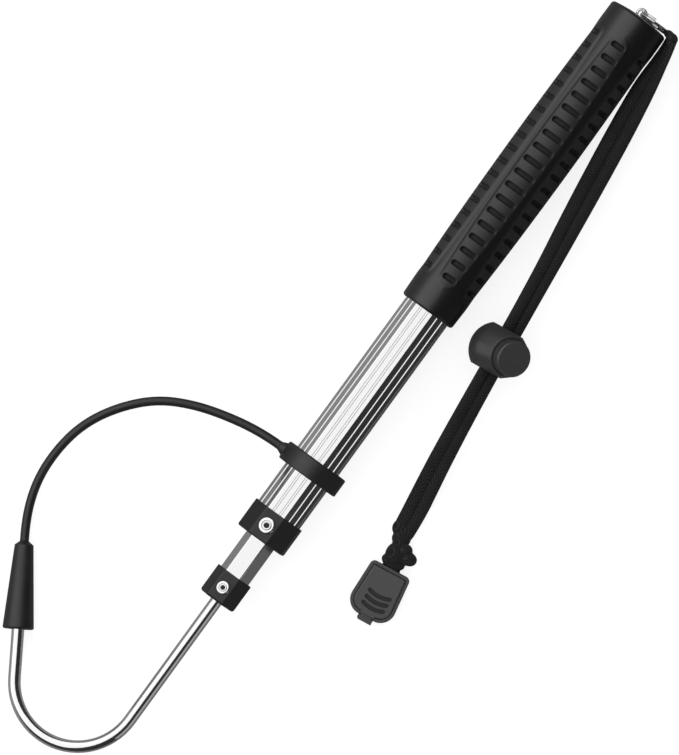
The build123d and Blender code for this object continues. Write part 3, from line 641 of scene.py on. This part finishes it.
def make_grip():
    butt_curve = [(2.2, 0.7), (2.2, 3.0), (0.25, 3.1)]  # the recess round the lanyard eye
    butt_curve += [(BUTT_DISH * t**2, BUTT_REACH * t) for t in np.linspace(0.26, 1.0, 10)]
    butt_corner = [
        (BUTT_DISH + CORNER * (1 - cos(a)), BUTT_REACH + CORNER * sin(a))
        for a in np.linspace(0.15, pi / 2, 9)
    ]
    body_x = np.arange(3.0, GRIP_LENGTH - 1.7, 0.30)
    front_corner = [
        (GRIP_LENGTH - CORNER + CORNER * sin(a), FRONT_REACH + CORNER * cos(a))
        for a in np.linspace(0.0, pi / 2, 9)
    ]
    stations = [p[0] for p in butt_curve + butt_corner] + list(body_x)
    radii = [p[1] for p in butt_curve + butt_corner] + list(grip_radius(body_x))
    stations += [p[0] for p in front_corner] + [GRIP_LENGTH, GRIP_LENGTH - 3]
    radii += [p[1] for p in front_corner] + [11.6, 11.55]
    x = np.array(stations)[:, None]
    base = np.array(radii)[:, None]
    columns = 360
    turn = np.linspace(0, 2 * pi, columns, endpoint=False)[None, :]
    spacing = 2 * pi / PANELS
    panel_zero = pi / 2 + radians(PANEL_TURN)
    from_centre = (turn - panel_zero + spacing / 2) % spacing - spacing / 2
    sideways = np.abs(from_centre) * base
    half = panel_half_width(x)
    in_flute = smoothstep(sideways - half, -0.2, 1.5)
    smooth_surface = smoothstep(sideways - half, -0.1, 0.3)
    at_ends = smoothstep(x, PANEL_START - 3.5, PANEL_START + 9) * (
        1 - smoothstep(x, PANEL_END - 9, PANEL_END + 3.5)
    )
    depth = FLUTE_DEPTH * in_flute * at_ends
    # the cross slots, each an obround as wide as its panel there
    nearest = np.clip(np.round((x - SLOT_START) / SLOT_PITCH), 0, SLOT_COUNT - 1)
    slot_x = SLOT_START + nearest * SLOT_PITCH
    slot_half = panel_half_width(slot_x) - 0.55
    past_straight = np.maximum(sideways - np.maximum(slot_half - SLOT_HALF_WIDTH, 0), 0)
    from_slot = np.sqrt((x - slot_x) ** 2 + past_straight**2)
    in_slot = 1 - smoothstep(from_slot, SLOT_HALF_WIDTH - 0.4, SLOT_HALF_WIDTH + 0.1)
    depth = depth + SLOT_DEPTH * in_slot
    shaped = base - depth
    grid_x = np.broadcast_to(x, shaped.shape)
    points = np.stack([grid_x, shaped * np.cos(turn), shaped * np.sin(turn)], axis=-1)
    points = (points.reshape(-1, 3) * MM).tolist()
    faces = grid_faces(len(stations), columns)
    piece = make_object("grip_moulding", points, faces, GRIP)
    textured = (1 - smooth_surface) * at_ends * (1 - in_slot)
    for name, amount in (("textured", textured), ("recess", in_slot)):
        mark = piece.data.attributes.new(name, "FLOAT", "POINT")
        mark.data.foreach_set("value", amount.astype(np.float32).ravel())
    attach(piece, "handle")
    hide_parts("grip_sleeve")


make_grip()

# ---------------------------------------------------------------- outer tube with its fine grooves
TUBE_FLATS = 22.9
TUBE_WALL = 0.9
TUBE_CORNER = 1.0
TUBE_SIDES = 8
GROOVE_PLACE = 1.9  # from the facet's middle
GROOVE_HALF = 0.66
GROOVE_DEPTH = 0.34
GROOVE_FLAT = 0.5  # the flat bottom, as a share of the width


def tube_section():
    """The outside of the tube as (across, out of plane) points in the hook's frame."""
    half_turn = pi / TUBE_SIDES
    flat = (TUBE_FLATS / 2 - TUBE_CORNER) * tan(half_turn)
    steps = [(-flat, 0)]
    for middle in (-GROOVE_PLACE, GROOVE_PLACE):
        steps += [
            (middle - GROOVE_HALF, 0),
            (middle - GROOVE_HALF * GROOVE_FLAT, GROOVE_DEPTH),
            (middle + GROOVE_HALF * GROOVE_FLAT, GROOVE_DEPTH),
            (middle + GROOVE_HALF, 0),
        ]
    steps.append((flat, 0))
    section = []
    for side in range(TUBE_SIDES):
        facing = pi / 2 + 2 * pi * side / TUBE_SIDES
        out = np.array((cos(facing), sin(facing)))
        along = np.array((-sin(facing), cos(facing)))
        for sideways, deep in steps:
            section.append(out * (TUBE_FLATS / 2 - deep) + along * sideways)
        corner = out * (TUBE_FLATS / 2 - TUBE_CORNER) + along * flat
        for step in range(1, 6):
            turn = facing + 2 * half_turn * step / 6
            section.append(corner + TUBE_CORNER * np.array((cos(turn), sin(turn))))
    return section


def make_outer_tube():
    section = tube_section()
    inner = []
    for across, up in section:
        direction = np.arctan2(up, across)
        facing = (direction - pi / TUBE_SIDES) % (2 * pi / TUBE_SIDES) - pi / TUBE_SIDES
        reach = (TUBE_FLATS / 2 - TUBE_WALL) / cos(facing)
        inner.append((reach * cos(direction), reach * sin(direction)))
    rear, front = (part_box("outer_tube")[i][0] / MM for i in (0, 1))
    points = []
    for station, ring in (
        (rear, section),
        (front, section),
        (front, inner),
        (rear, inner),
    ):
        points += [in_tool(station, across, up) for across, up in ring]
    faces = grid_faces(4, len(section), closed_rows=True)
    piece = make_object("outer_tube_grooved", points, faces, TUBE)
    piece.data.set_sharp_from_angle(angle=radians(20))
    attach(piece, "handle")
    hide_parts("outer_tube")


make_outer_tube()


# ---------------------------------------------------------------- soft lobes of cord
def make_bight():
    lobes = [
        ((-0.2, 18.0, 2.7), (2.6, 3.0, 2.75), radians(-8)),
        ((-0.2, 18.0, -2.7), (2.6, 3.0, 2.75), radians(-8)),
        ((-1.1, 15.8, 2.2), (1.9, 2.7, 2.5), 0),
        ((-1.1, 15.8, -2.2), (1.9, 2.7, 2.5), 0),
        ((1.4, 18.8, 2.6), (3.8, 2.4, 2.1), radians(12)),
        ((1.6, 18.3, -2.7), (3.8, 2.3, 2.1), radians(6)),
    ]
    piece = soft_union("bight_cord", lobes, 0.25, 5, CORD_KNOT)
    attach(piece, "handle")
    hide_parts("lanyard_bight")


make_bight()


# ---------------------------------------------------------------- rivet heads
RIVET_PROFILE = (  # (height, radius) as shares of the head's height and radius
    (-0.60, 0.50),
    (0.00, 0.52),
    (0.00, 0.97),
    (0.10, 1.00),
    (0.35, 0.995),
    (0.58, 0.96),
    (0.72, 0.90),
    (0.80, 0.80),
    (0.86, 0.68),
    (0.86, 0.63),
    (0.70, 0.60),
    (0.66, 0.575),
    (0.76, 0.55),
    (0.92, 0.52),
    (0.98, 0.46),
    (0.98, 0.38),
    (0.86, 0.31),
    (0.40, 0.285),
    (0.00, 0.28),
)


def make_rivet(name, node, facet, height, radius, body):
    """facet is how far from the pole's axis the head's underside sits, in millimetres."""
    low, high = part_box(node)
    profile = [(h * height, r * radius) for h, r in RIVET_PROFILE]
    origin = in_tool((low.x + high.x) / 2 / MM, 0, facet)
    plane = (origin, TOOL_N, Vector((1, 0, 0)), TOOL_Y)
    piece = lathe(name, profile, plane, BRIGHT, columns=72)
    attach(piece, body)
    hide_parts(node)


make_rivet("outer_rivet_head", "outer_rivet", facet=12.82, height=1.1, radius=4.0, body="handle")
make_rivet(
    "inner_rivet_head", "inner_rivet", facet=8.57, height=1.05, radius=3.3, body="middle_section"
)

# ---------------------------------------------------------------- spring of the cord lock
SPRING_TURNS = 4
SPRING_COIL = 4.6  # radius of the coil's centre line
SPRING_WIRE = 0.8  # diameter
SPRING_STEPS = 40  # on each turn


def make_lock_spring():
    """The coil under the button, wound about the button's line of travel."""
    low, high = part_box("lock_spring")
    middle = (Vector(low) + Vector(high)) / 2
    press = [joint for joint in frame["joints"] if joint["name"] == "button_press"][0]
    up = -Vector(press["axis"]).normalized()
    side = up.cross(Vector((1, 0, 0))).normalized()
    front = up.cross(side)
    # a coil about a leaning axis fills a box that is taller than the coil by its own width
    spread = 2 * (SPRING_COIL + SPRING_WIRE / 2) * MM * sqrt(1 - up.z**2)
    length = ((high[2] - low[2]) - spread) / up.z - SPRING_WIRE * MM
    path = []
    for step in range(SPRING_TURNS * SPRING_STEPS + 1):
        share = step / (SPRING_TURNS * SPRING_STEPS)
        turn = 2 * pi * SPRING_TURNS * share
        ring = (side * cos(turn) + front * sin(turn)) * SPRING_COIL * MM
        path.append(middle + up * (share - 0.5) * length + ring)
    wire = SPRING_WIRE / 2 * MM
    piece = tube_along("lock_spring_coil", path, [(wire, wire)] * len(path), ROD, columns=12)
    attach(piece, "cord_lock")
    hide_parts("lock_spring")
    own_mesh(piece)


make_lock_spring()

# ---------------------------------------------------------------- finishes of the carried-over parts
for node, finish in (
    ("butt_plug", PLASTIC),
    ("outer_collar", PLASTIC),
    ("inner_collar", PLASTIC),
    ("middle_glide", PLASTIC),
    ("rod_glide", PLASTIC),
    ("clip_base", FITTING),
    ("clip_lid", LID),
    ("clip_hinge_web", FITTING),
    ("lock_body", FITTING),
    ("lock_button", FITTING),
    ("middle_tube", TUBE),
    ("hook_rod", ROD),
    ("rod_pin", ROD),
    ("lanyard_eye", BRIGHT),
    ("split_ring", BRIGHT),
    ("outer_rivet_mandrel", MANDREL),
    ("inner_rivet_mandrel", MANDREL),
    ("protector_ring", SOFT),
    ("tip_cover", SOFT),
    ("middle_glide_ring", SOFT),
):
    mesh = frame["nodes"][node].data
    mesh.materials.clear()
    mesh.materials.append(finish)


# ---------------------------------------------------------------- floor and light
def by_ray(nodes, links, ray, usual, special):
    """One grey for the named kind of ray, such as Is Glossy Ray, and the usual one for the rest."""
    path = nodes.new("ShaderNodeLightPath")
    mix = nodes.new("ShaderNodeMix")
    links.new(path.outputs[ray], mix.inputs["Factor"])
    for socket, grey in (("A", usual), ("B", special)):
        if isinstance(grey, float):
            mix.inputs[socket].default_value = grey
        else:
            links.new(grey, mix.inputs[socket])
    return mix.outputs["Result"]


def grey_ramp(nodes, links, value, stops):
    """A grey that follows (place, grey) stops along a value."""
    ramp = nodes.new("ShaderNodeValToRGB")
    elements = ramp.color_ramp.elements
    for element, (place, grey) in zip(elements, (stops[0], stops[-1])):
        element.position = place
        element.color = (grey, grey, grey, 1)
    for place, grey in stops[1:-1]:
        elements.new(place).color = (grey, grey, grey, 1)
    links.new(value, ramp.inputs["Fac"])
    return ramp.outputs["Color"]


FLOOR_GREY = 0.22
FLOOR_GLOW = 0.82  # the floor is a light table, so that shadows stay faint
FLOOR_FILL = 0.25  # what the table throws onto the object, which is less
FLOOR_REFLECTED = ((0.0, 0.24), (0.47, 0.21), (0.60, 0.10), (1.0, 0.10))  # the painted reflection: the greys polished parts see in the floor, from -Y to +Y
FLOOR_REFLECTED_REACH = 0.3
STUDIO_GREY = 0.86
STUDIO_REFLECTED = (
    (0.0, 0.42),
    (0.08, 0.40),
    (0.35, 0.05),
    (0.80, 0.025),
    (1.0, 0.03),
)  # by the direction's y, from -Y to +Y


def make_floor():
    """A matt pale floor with a painted reflection: polished parts see it as a darker grey, as a card
    beside them would.
    """
    material, nodes, links, shader = new_material("pale_floor")
    source = nodes.new("ShaderNodeTexCoord")
    split = nodes.new("ShaderNodeSeparateXYZ")
    links.new(source.outputs["Object"], split.inputs["Vector"])
    reach = FLOOR_REFLECTED_REACH
    across = span(nodes, links, split.outputs["Y"], 0, 1, -reach, reach)
    reflected = grey_ramp(nodes, links, across, FLOOR_REFLECTED)
    # painted reflection: glossy rays get the graded greys, every other ray the pale grey
    grey = by_ray(nodes, links, "Is Glossy Ray", FLOOR_GREY, reflected)
    links.new(grey, shader.inputs["Base Color"])
    glow = by_ray(nodes, links, "Is Camera Ray", FLOOR_FILL, FLOOR_GLOW)
    shader.inputs["Emission Color"].default_value = (1, 1, 1, 1)
    links.new(by_ray(nodes, links, "Is Glossy Ray", glow, 0.0), shader.inputs["Emission Strength"])
    shader.inputs["Roughness"].default_value = 0.9
    shader.inputs["Specular IOR Level"].default_value = 0.0
    reach = 6.0
    z = FLOOR_Z - 0.0003
    corners = [(-reach, -reach, z), (reach, -reach, z), (reach, reach, z), (-reach, reach, z)]
    floor = make_object("floor", corners, [(0, 1, 2, 3)], material, smooth=False)


def soft_box(name, station, towards_y, width, depth, distance, brightness):
    """A soft panel light at a station along the pole, tilted from +Z towards +Y in degrees."""
    data = bpy.data.lights.new(name, "AREA")
    data.shape = "RECTANGLE"
    data.size = width
    data.size_y = depth
    data.energy = brightness * pi * width * depth
    light = bpy.data.objects.new(name, data)
    bpy.context.scene.collection.objects.link(light)
    tilt = radians(towards_y)
    light.location = (station, distance * sin(tilt), distance * cos(tilt))
    light.rotation_euler = (-tilt, 0, 0)
    light.visible_camera = False


def make_world():
    world = bpy.data.worlds.new("studio")
    bpy.context.scene.world = world
    world.use_nodes = True
    nodes, links = world.node_tree.nodes, world.node_tree.links
    source = nodes.new("ShaderNodeTexCoord")
    split = nodes.new("ShaderNodeSeparateXYZ")
    links.new(source.outputs["Generated"], split.inputs["Vector"])
    sideways = span(nodes, links, split.outputs["Y"], 0, 1, -1, 1)
    reflected = grey_ramp(nodes, links, sideways, STUDIO_REFLECTED)
    grey = by_ray(nodes, links, "Is Glossy Ray", STUDIO_GREY, reflected)
    links.new(grey, nodes["Background"].inputs["Color"])


bpy.context.scene.view_settings.view_transform = "Standard"
make_floor()
make_world()
soft_box(
    "key", VIEW_CENTRE.x, towards_y=-33, width=2.4, depth=1.6, distance=1.2, brightness=1.08
)
soft_box(
    "hook_card", 0.50, towards_y=74, width=0.34, depth=0.5, distance=0.55, brightness=0.34
)
